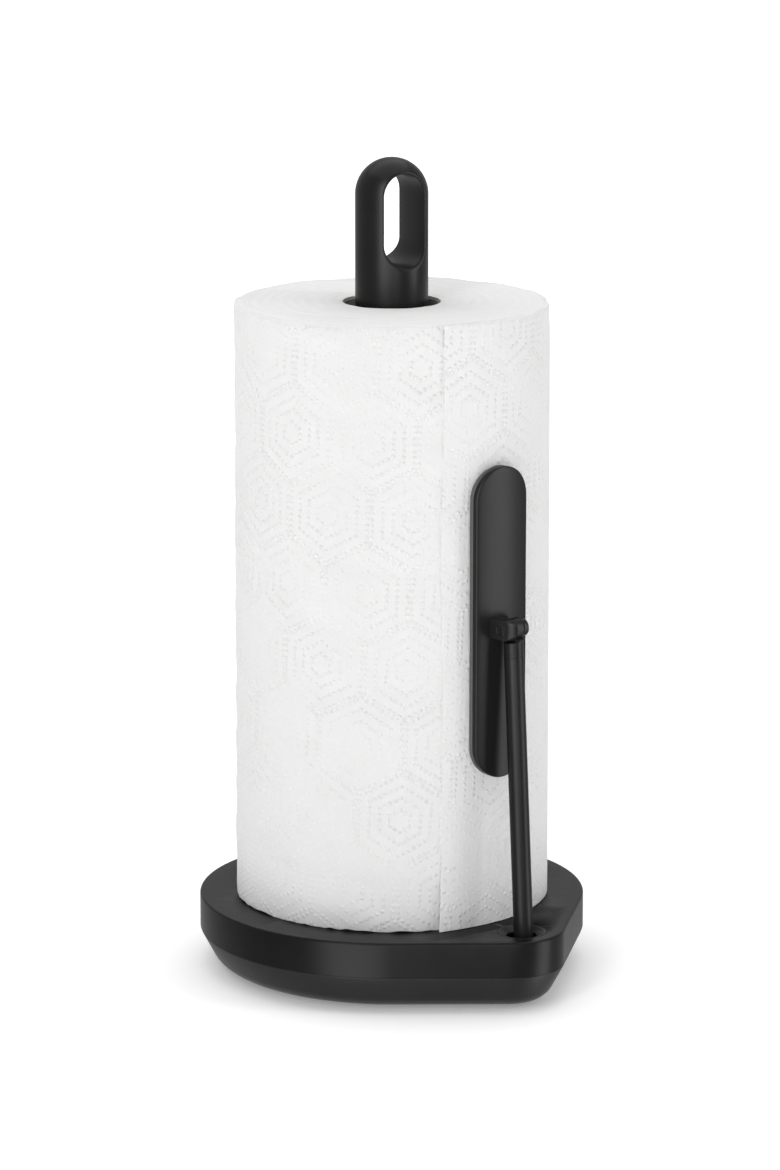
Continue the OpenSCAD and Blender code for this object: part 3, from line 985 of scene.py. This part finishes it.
def curved_plate(low, high, inner, outer, inset, edge_in, edge_out):
    """A bar-shaped plate bent round the post's axis between two radii.

    Its section runs over the outer face, round both edges and back over the inner face, and each
    point (x, z) at radius r lies at y = -sqrt(r^2 - x^2).
    """
    half_width = (high[0] - low[0]) / 2 - inset
    half_length = (high[2] - low[2]) / 2 - inset
    outline, normals = stadium(half_width, half_length)
    section = [(half_width, outer), (0, outer), (0, inner), (half_width, inner)]
    section = rounded(section, (edge_out, edge_in), 8)
    spread = np.linspace(1, 0, 9)[:-1, None]
    face_out = section[1] * (1 - spread) + section[0] * spread
    face_in = (section[-2] * (1 - spread) + section[-1] * spread)[::-1]
    section = np.concatenate([face_out, section[1:-1], face_in])
    depth, radius = section.T
    flat = outline[:, None] - depth[None, :, None] * normals[:, None]
    middle = (low[2] + high[2]) / 2
    y = -np.sqrt(radius**2 - flat[..., 0] ** 2)
    return np.stack([flat[..., 0], y, flat[..., 1] + middle], -1), True


class HOLDER_OT_pad(bpy.types.Operator):
    """Pad: an outer plate with the hinge lug on it, and a softer liner on the paper's side"""

    bl_idname = "holder.pad"
    bl_label = "Pad"

    def lug(self, corner):
        """Rounded block along X with a round recess for the pin in its outer end, as one closed skin."""
        left, right = -7.75, -2.3
        near, far, above, below = KNUCKLE[1] + 9.0, KNUCKLE[1] - 5.0, 5.2, 4.5
        a = np.linspace(0, TURN, 96, endpoint=False)
        ray = np.stack([np.cos(a), np.sin(a)], -1)
        core_far, core_near = far + corner, near - 0.5
        along = np.where(ray[:, 0] > 0, core_near, core_far)
        radius = np.where(ray[:, 0] > 0, 0.5, corner)
        high = np.where(ray[:, 1] > 0, above - radius, radius - below)
        y = along + radius * ray[:, 0]
        z = KNUCKLE[2] + high + radius * ray[:, 1]
        hole_a = np.arctan2(z - KNUCKLE[2], y - KNUCKLE[1])
        recess = 2.6

        def ring(x, inset):
            return np.stack([np.full_like(a, x), y - inset * ray[:, 0], z - inset * ray[:, 1]], -1)

        def round_hole(x, r):
            return np.stack([np.full_like(a, x), KNUCKLE[1] + r * np.cos(hole_a),
                             KNUCKLE[2] + r * np.sin(hole_a)], -1)

        edge = 0.45
        bevel, deep = 0.13, left + 1.2
        rings = [
            round_hole(deep, 0), round_hole(deep, recess), round_hole(left + 0.2, recess),
            round_hole(left, recess + 0.2), ring(left, edge), ring(left + bevel, bevel), ring(left + edge, 0),
            ring(right - edge, 0), ring(right - bevel, bevel), ring(right, edge), round_hole(right, 2.0),
            round_hole(right, 0),
        ]
        return np.stack(rings, 1), True

    def execute(self, context):
        sizes = context.scene.holder_sizes
        split = -LINER_LOW[1]
        outer = 78.5
        edge = sizes.pad_edge / MM
        plate = curved_plate(PAD_LOW, PAD_HIGH, split + 0.04, outer, 0, 0.25, edge)
        piece = make_piece("visual_pad_shell", [plate, self.lug(sizes.lug_corner / MM)], 38)
        settle(piece, "pad", "black_plastic", finish("satin_black"), "pad_shell")
        inner = 73.6
        layer = curved_plate(LINER_LOW, LINER_HIGH, inner, split - 0.02, 0.1, 0.4, 0.25)
        liner = make_piece("visual_pad_liner", [layer], 38)
        settle(liner, "pad", "liner_rubber", finish("liner_rubber"), "pad_liner")
        return {"FINISHED"}


class HOLDER_OT_hinge_pin(bpy.types.Operator):
    """Pad's hinge pin with its round cap"""

    bl_idname = "holder.hinge_pin"
    bl_label = "Hinge pin"

    def execute(self, context):
        cap, start, end = PIN_HIGH[2] - KNUCKLE[2], 3.3, PIN_HIGH[0]
        r, tip = 1.5, PIN_LOW[0]
        shaft = [(0, tip), (r, tip), (r, start), (cap, start), (cap, end), (1.6, end), (0, end - 0.25)]
        profile = rounded(shaft, (0.3, 0.1, 0.4, 1.1, 0.5), 7)
        piece = make_piece("visual_hinge_pin", [revolve(profile, 72, "X", (0, *KNUCKLE[1:]))], 45)
        settle(piece, "pad", "black_plastic", finish("deep_black"), "hinge_pin")


# ---------------------------------------------------------------- roll
        return {"FINISHED"}


def roll_radius(z):
    """Radius of the wound paper at a height: straight from the bottom to the slightly tighter top."""
    bottom = ROLL_HIGH[0]
    share = (z - ROLL_LOW[2]) / (ROLL_HIGH[2] - ROLL_LOW[2])
    return bottom - 0.5 * np.clip(share, 0, 1)


def unrolled(first_angle):
    """Place on the unrolled paper in metres: arc length from first_angle, and height."""

    def place_of(here, middle):
        centre = np.arctan2(middle[:, 1], middle[:, 0])
        at = np.arctan2(here[:, 1], here[:, 0])
        near = centre + (at - centre + math.pi) % TURN - math.pi
        start = (centre - first_angle) % TURN
        return np.stack([(start + near - centre) * ROLL_HIGH[0], here[:, 2]], -1) * MM

    return place_of


class HOLDER_OT_cardboard_core(bpy.types.Operator):
    """Core of the roll: a thin tube of spirally wound board"""

    bl_idname = "holder.cardboard_core"
    bl_label = "Cardboard core"

    def execute(self, context):
        r, low, top = CORE_HIGH[0], CORE_LOW[2] + 1.2, CORE_HIGH[2] - 1.5
        ring = [(r, low + 100), (r, top), (r - 0.8, top), (r - 0.8, low), (r, low), (r, low + 100)]
        profile = rounded(ring, (0.2, 0.2, 0.2, 0.2), 3)
        tube = revolve(profile, 120)
        piece = make_piece("visual_cardboard_core", [tube], 60, unrolled(ROLL_START))
        settle(piece, "core", "cardboard", finish("wound_card"), "cardboard_core")
        return {"FINISHED"}


class HOLDER_OT_paper_roll(bpy.types.Operator):
    """Wound paper: slightly uneven sides, soft rims and ends of fine layers"""

    bl_idname = "holder.paper_roll"
    bl_label = "Paper roll"

    def execute(self, context):
        low, top = SHELL_HIGH[2] + 0.1, ROLL_HIGH[2]
        hole = CORE_HIGH[0] + 0.03
        a = np.linspace(0, TURN, 400, endpoint=False)[:, None]
        height = np.linspace(low + 0.4, top - RIM, 120)
        side_r = roll_radius(height) - 0.1
        bend = np.linspace(0, math.pi / 2, 7)[1:]
        rim_r = side_r[-1] - RIM * (1 - np.cos(bend))
        rim_z = top - RIM + RIM * np.sin(bend)
        end_r = np.linspace(rim_r[-1], hole + 0.6, 46)[1:]
        foot_r = side_r[0] - 0.35 * (1 - np.cos(bend[::-1]))
        foot_z = low + 0.4 - 0.4 * np.sin(bend[::-1])
        floor_r = np.linspace(hole, foot_r[0], 9)[:-1]
        radius = np.concatenate([floor_r, foot_r, side_r, rim_r, end_r, [hole, hole]])
        z = np.concatenate([np.full(len(floor_r), low), foot_z, height, rim_z, np.full(len(end_r), top),
                            [top - 0.5, low]])
        side = np.zeros(len(radius))
        first = len(floor_r)
        side[first:first + len(foot_r) + len(height) + len(rim_r)] = 1
        ends = np.zeros(len(radius))
        ends[first + len(foot_r) + len(height):-2] = 1
        swell = 0.22 * ripple(a, z[None], 4, 14) + 0.14 * ripple(a, z[None] * 3, 8, 18, 0.2)
        near_top = np.exp(-np.clip(top - z, 0, None) / 2.5)[None]
        bites = ((11, 3, 2.3), (29, 5, 3.1), (47, 7, 3.7))
        scallops = sum(0.24 * np.sin(k * a + n * np.sin(m * a)) for k, m, n in bites)
        r = radius + side * (swell + 0.9 * near_top * (scallops - 0.3))
        layers = 0.16 * ripple(a, radius[None] * 9, 11, 16, 0.2) + 0.25 * ripple(a, radius[None], 12, 6)
        lift = ends * np.clip((radius - hole) / 2, 0, 1) * np.minimum(layers, 0.3) - 0.3 * ends
        ragged = np.exp(-(z - low) / 1.5)[None] * side * np.clip(0.2 + scallops, 0, 1)
        skin = np.stack([r * np.cos(a), r * np.sin(a), z + lift + 0.9 * ragged], -1)
        piece = make_piece("visual_paper_roll", [(skin, True)], 60, unrolled(ROLL_START))
        settle(piece, "roll", "paper", finish("towel_paper"), "paper_roll")
        piece.data.materials.append(finish("cut_paper"))
        centre = np.empty(len(piece.data.polygons) * 3)
        piece.data.polygons.foreach_get("center", centre)
        centre = centre.reshape(-1, 3) / MM
        level = (centre[:, 2] > top - 0.9) | (centre[:, 2] < low + 0.05)
        piece.data.polygons.foreach_set("material_index", level.astype(np.int32))
        return {"FINISHED"}


class HOLDER_OT_loose_sheet(bpy.types.Operator):
    """Last sheet: it follows the roll, and its torn free edge stands off and curls out at the bottom"""

    bl_idname = "holder.loose_sheet"
    bl_label = "Loose sheet"

    def execute(self, context):
        paper = context.scene.paper_sizes
        low, top = SHELL_HIGH[2] + 0.35, ROLL_HIGH[2] - 0.4
        length = ROLL_HIGH[0] * paper.sheet_span
        run = (np.linspace(0, 1, 64) ** 1.6 * length)[:, None]
        z = np.linspace(low, top, 300)[None]
        lift, flare = paper.sheet_lift / MM, paper.sheet_flare / MM
        wave = 0.75 + 0.45 * np.sin(z / 31 + 0.6) + 0.2 * np.sin(z / 11 + 1.9)
        curl = np.exp(-(z - low) / 16)
        crest = np.exp(-(top - z) / 14)
        stand = lift * wave * np.exp(-run / 9) + flare * curl * np.exp(-run / 20)
        stand = stand + 0.8 * crest * np.exp(-run / 16)
        sink = 0.62 * np.clip((run - length + 14) / 14, 0, 1) ** 2
        sink = sink + 1.4 * np.exp(-(top - z) / 6) * np.clip(1.5 * run / length - 0.5, 0, 1)
        drift = -2.6 * curl * np.exp(-run / 30) + 1.2 * np.exp(-(top - z) / 40) * np.exp(-run / 30)
        torn = 0.22 * np.sin(z * TURN / 3.1) * np.exp(-run / 0.8) + 0.5 * np.sin(z / 19) * np.exp(-run / 12)
        angle = paper.edge_angle + (run + drift + torn) / ROLL_HIGH[0]
        over = np.clip((z - top + RIM) / 1.75, 0, 1)
        rim = RIM * (1 - np.sqrt(1 - over**2)) * (1 - np.exp(-run / 20))
        middle = roll_radius(z) + 0.12 + stand - sink - rim
        tucked = (0.8 + lift * wave) * np.exp(-run / 1.2) * (1 - curl) * (1 - 0.6 * crest)
        thick = 0.26 * np.clip(0.35 + run / 0.8, 0, 1)

        def layer(radius):
            height = np.broadcast_to(z, angle.shape)
            return np.stack([radius * np.cos(angle), radius * np.sin(angle), height], -1)

        outer, inner = layer(middle + thick), layer(middle - tucked)
        round_trip = np.concatenate([outer, inner[::-1]])
        ends = [(np.stack([outer[:, k], inner[:, k]], 1), False) for k in (0, -1)]
        piece = make_piece("visual_loose_sheet", [(round_trip, True), *ends], 50,
                           unrolled(paper.edge_angle - math.radians(31)))
        settle(piece, "roll", "paper", finish("towel_paper"), "loose_sheet")
        return {"FINISHED"}


# ---------------------------------------------------------------- finishes of the CAD nodes, and the studio


class HOLDER_OT_inner_works(bpy.types.Operator):
    """Finishes for the pieces that stay as they were made: the weight, fasteners, bracket and hub"""

    bl_idname = "holder.inner_works"
    bl_label = "Inner works"

    def execute(self, context):
        finishes = {
            "ballast_plate": "cast_iron",
            "tray_screws": "bright_steel",
            "post_insert": "brass",
            "post_bolt": "bright_steel",
            "post_washer": "bright_steel",
            "pivot_bracket": "bright_steel",
            "bracket_screws": "bright_steel",
            "pivot_pin": "bright_steel",
            "pin_rings": "dark_steel",
            "torsion_spring": "bright_steel",
            "arm_hub": "deep_black",
            "pin_clip": "dark_steel",
        }
        for node, name in finishes.items():
            mesh = frame["nodes"][node].data
            mesh.materials.clear()
            mesh.materials.append(finish(name))
        return {"FINISHED"}


class HOLDER_OT_studio(bpy.types.Operator):
    """Pale floor, soft boxes and the camera"""

    bl_idname = "holder.studio"
    bl_label = "Studio"

    def soft_box(self, name, place, aim, width, height, power, lit=(), shading=()):
        """An area light at place that faces aim.

        It falls on the pieces in lit, and those in shading cast its shadows. Empty, they stand for all.
        """
        light = bpy.data.lights.new(name, "AREA")
        light.shape = "RECTANGLE"
        light.size, light.size_y, light.energy = width, height, power
        lamp = bpy.data.objects.new(name, light)
        lamp.location = place
        lamp.rotation_euler = (Vector(aim) - Vector(place)).to_track_quat("-Z", "Y").to_euler()
        lamp.visible_camera = False
        bpy.context.scene.collection.objects.link(lamp)
        for use, chosen in (("receiver_collection", lit), ("blocker_collection", shading)):
            if chosen:
                group = bpy.data.collections.new(f"{name}_{use}")
                for piece in chosen:
                    group.objects.link(piece)
                setattr(lamp.light_linking, use, group)

    def execute(self, context):
        scene = context.scene
        scene.world = self.sky()
        self.ground(scene)
        middle = (0, 0, 0.2)
        self.soft_box("overhead_box", (0.1, 0.3, 2.2), middle, 3.0, 3.0, 44)
        self.soft_box("left_box", (-0.98, -0.46, 0.62), middle, 0.26, 1.25, 4.4)
        self.soft_box("right_box", (0.62, -0.9, 0.6), middle, 0.2, 1.2, 2.8)
        white = [scene.objects[name] for name in ("visual_paper_roll", "visual_loose_sheet")]
        pieces = [o for o in scene.objects if o.name.startswith("visual_")]
        black = [o for o in pieces if o not in white]
        # Boxes for some pieces only: a fill on the paper, and shines on the black ones. The two strips
        # reach below the floor, where the base's upright band mirrors them.
        self.soft_box("low_fill", (-0.45, -0.55, 0.06), (0, 0, 0.06), 0.9, 0.16, 0.85, white, white)
        self.soft_box("front_box", (-0.52, -0.95, 0.2), (0, 0, 0.2), 0.5, 0.5, 3.6, black, pieces)
        base = ("visual_base_shell", "visual_under_tray", "visual_foot_pad")
        upright = [o for o in black if o.name not in base]
        left, right, high, low = (-0.8, -0.425), (0.49, -0.76), 0.55, -0.425
        self.soft_box("left_high", (*left, high), (0, 0, high), 0.6, 1.0, 12, upright, pieces)
        self.soft_box("right_high", (*right, high), (0, 0, high), 0.4, 1.0, 6.5, upright, pieces)
        self.soft_box("left_strip", (*left, low), (0, 0, low), 0.6, 0.95, 10, black, pieces)
        self.soft_box("right_strip", (*right, low), (0, 0, low), 0.4, 0.95, 6.2, black, pieces)
        self.camera(scene)
        scene.view_settings.view_transform = "Standard"
        return {"FINISHED"}

    def sky(self):
        """Even light, brighter behind the holder and darker in front, so that black keeps its depth."""
        world = bpy.data.worlds.new("studio_sky")
        world.use_nodes = True
        start = Wire(world.node_tree)
        away = start.node("ShaderNodeTexCoord")
        behind = (0.643, 0.766, 0)
        facing = away.node("ShaderNodeVectorMath", {"operation": "DOT_PRODUCT"}, {0: away, 1: behind}, 1)
        light = mix_colour(facing.smooth(-0.7, 0.7), (0.1, 0.1, 0.1), (0.55, 0.55, 0.55))
        world.node_tree.links.new(light.socket, world.node_tree.nodes["Background"].inputs["Color"])
        return world

    def ground(self, scene):
        """White floor that glows: faintly beside the holder, a painted light that lifts its shadow there, and
        more further out, to stay white beyond the soft boxes. It isn't mirrored.
        """
        far = 14.0
        mesh = bpy.data.meshes.new("floor")
        corners_of_floor = [(-far, -far, 0), (far, -far, 0), (far, far, 0), (-far, far, 0)]
        mesh.from_pydata(corners_of_floor, [], [(0, 1, 2, 3)])
        floor = bpy.data.objects.new("floor", mesh)
        scene.collection.objects.link(floor)
        colour = scene.holder_colours.floor
        constants = {"Roughness": 0.95, "Specular IOR Level": 0.1, "Emission Strength": 1.0}
        material, shader, start = new_material("floor_paper", constants)
        grain = noise(place(start, 900), 2)
        join(mix_colour(grain, shade(colour, 0.99), tuple(colour)), shader, "Base Color")
        here = place(start)
        out = here.node("ShaderNodeVectorMath", {"operation": "LENGTH"}, {0: here}, 1)
        glow = out.smooth(400, 2600)
        # Painted light: even beside the holder the floor glows at 0.22, which lightens the holder's shadow on
        # it.
        join(mix_colour(glow, (0.22, 0.22, 0.22), (0.85, 0.85, 0.85)), shader, "Emission Color")
        mesh.materials.append(material)
        floor.visible_glossy = False

    def camera(self, scene):
        """Long lens, 40 degrees to the arm's left and 12.7 degrees above the level."""
        distance, turn, rise = 2.1903, math.radians(-40), math.radians(12.7)
        aim = np.array([-0.0006, 0.0005, SHELL_HIGH[2] * MM + 0.146])
        away = np.array([math.sin(turn) * math.cos(rise), -math.cos(turn) * math.cos(rise), math.sin(rise)])
        data = bpy.data.cameras.new("camera")
        data.lens, data.sensor_width = 145.35, 36
        data.clip_end = 100
        eye = bpy.data.objects.new("camera", data)
        eye.location = aim + distance * away
        eye.rotation_euler = (-Vector(away)).to_track_quat("-Z", "Y").to_euler()
        scene.collection.objects.link(eye)
        scene.camera = eye


class HOLDER_PT_panel(bpy.types.Panel):
    """Lists the holder's pieces and their sizes in the sidebar"""

    bl_label = "Towel holder"
    bl_space_type = "VIEW_3D"
    bl_region_type = "UI"
    bl_category = "Towel holder"

    def draw(self, context):
        for operator in PIECES:
            self.layout.operator(operator.bl_idname)
        for group in (context.scene.holder_sizes, context.scene.paper_sizes, context.scene.holder_colours):
            for key in group.__annotations__:
                self.layout.prop(group, key)


PIECES = (
    HOLDER_OT_base_shell,
    HOLDER_OT_under_tray,
    HOLDER_OT_foot_pad,
    HOLDER_OT_socket_bezel,
    HOLDER_OT_post_tube,
    HOLDER_OT_handle,
    HOLDER_OT_arm_rod,
    HOLDER_OT_arm_head,
    HOLDER_OT_pad,
    HOLDER_OT_hinge_pin,
    HOLDER_OT_cardboard_core,
    HOLDER_OT_paper_roll,
    HOLDER_OT_loose_sheet,
    HOLDER_OT_inner_works,
    HOLDER_OT_studio,
)
GROUPS = {"holder_sizes": HolderSizes, "paper_sizes": PaperSizes, "holder_colours": HolderColours}


def register():
    for group in GROUPS.values():
        bpy.utils.register_class(group)
    for kind in (*PIECES, HOLDER_PT_panel):
        bpy.utils.register_class(kind)
    for key, group in GROUPS.items():
        setattr(bpy.types.Scene, key, bpy.props.PointerProperty(type=group))


def unregister():
    for key in GROUPS:
        delattr(bpy.types.Scene, key)
    for kind in (HOLDER_PT_panel, *reversed(PIECES), *GROUPS.values()):
        bpy.utils.unregister_class(kind)


def main():
    register()
    for operator in PIECES:
        group, name = operator.bl_idname.split(".")
        getattr(getattr(bpy.ops, group), name)()


if __name__ == "__main__":
    main()
